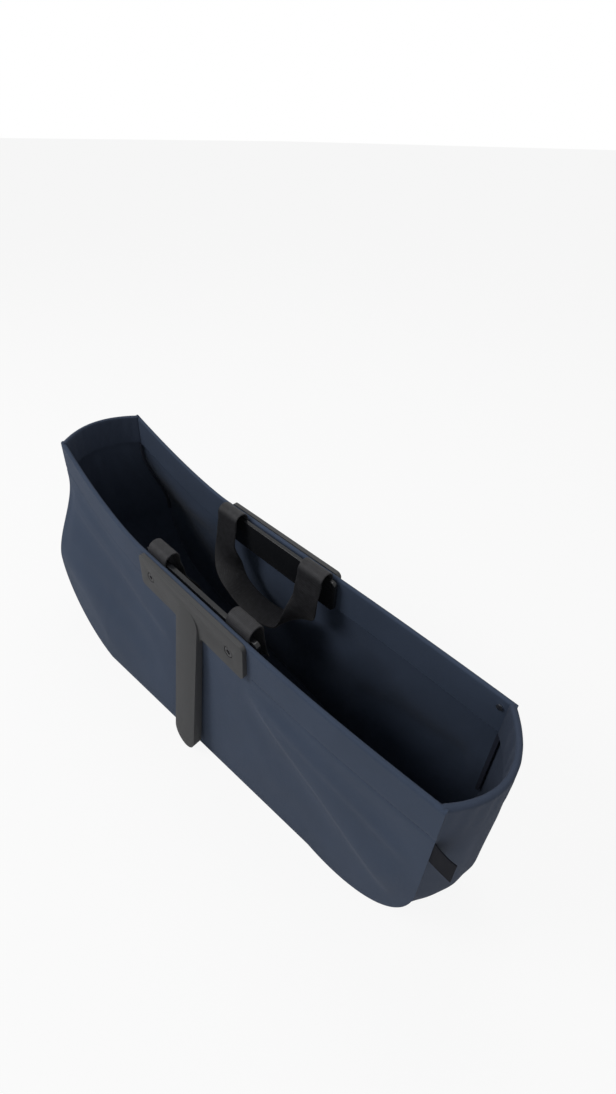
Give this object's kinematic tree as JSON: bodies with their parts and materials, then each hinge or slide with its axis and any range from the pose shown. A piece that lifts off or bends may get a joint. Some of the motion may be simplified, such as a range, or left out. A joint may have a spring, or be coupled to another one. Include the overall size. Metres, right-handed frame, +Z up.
{
  "type": "hanging storage basket",
  "caption": "Long narrow soft fabric basket with stiffened rim, hung from two moulded T-shaped brackets with long tongues, and with swinging webbing carry handles inside.",
  "frame": {"origin": "middle of the base, on the surface that the basket stands on", "axes": "+X along the basket towards the lower right end, +Y from the near side to the far side, +Z up"},
  "size_m": [0.544, 0.164, 0.259],
  "materials": {
    "shell_cloth": "coated plain weave",
    "hem_cloth": "coated plain weave",
    "stiffener_plastic": "matte",
    "binding_tape": "woven tape",
    "bracket_plastic": "fine texture",
    "backing_plastic": "satin",
    "screw_steel": "blackened",
    "insert_brass": "plain",
    "webbing": "woven webbing",
    "label_cloth": "woven tape"
  },
  "bodies": {
    "basket": {"near_side_panel": "shell_cloth", "far_side_panel": "shell_cloth", "left_end_panel": "shell_cloth", "right_end_panel": "shell_cloth", "bottom_panel": "shell_cloth", "near_hem": "hem_cloth", "far_hem": "hem_cloth", "left_hem": "hem_cloth", "right_hem": "hem_cloth", "near_rim_stiffener": "stiffener_plastic", "far_rim_stiffener": "stiffener_plastic", "left_rim_stiffener": "stiffener_plastic", "right_rim_stiffener": "stiffener_plastic", "near_left_seam_binding": "binding_tape", "near_right_seam_binding": "binding_tape", "far_left_seam_binding": "binding_tape", "far_right_seam_binding": "binding_tape", "base_board": "stiffener_plastic", "base_cover": "hem_cloth", "near_hanger": "bracket_plastic", "far_hanger": "bracket_plastic", "near_backing_plate": "backing_plastic", "far_backing_plate": "backing_plastic", "near_screws": "screw_steel", "far_screws": "screw_steel", "near_inserts": "insert_brass", "far_inserts": "insert_brass", "near_strap_roots": "webbing", "far_strap_roots": "webbing", "side_label": "label_cloth", "corner_rivets": "screw_steel"},
    "near_handle": {"near_handle_loop": "webbing"},
    "far_handle": {"far_handle_loop": "webbing"}
  },
  "joints": [
    {"name": "near_handle_swing", "type": "hinge", "parent": "basket", "child": "near_handle", "pos_m": [0, -0.04385, 0.214], "axis": [1, 0, 0], "range_deg": [0, 165]},
    {"name": "far_handle_swing", "type": "hinge", "parent": "basket", "child": "far_handle", "pos_m": [0, 0.04385, 0.214], "axis": [-1, 0, 0], "range_deg": [0, 165]}
  ]
}
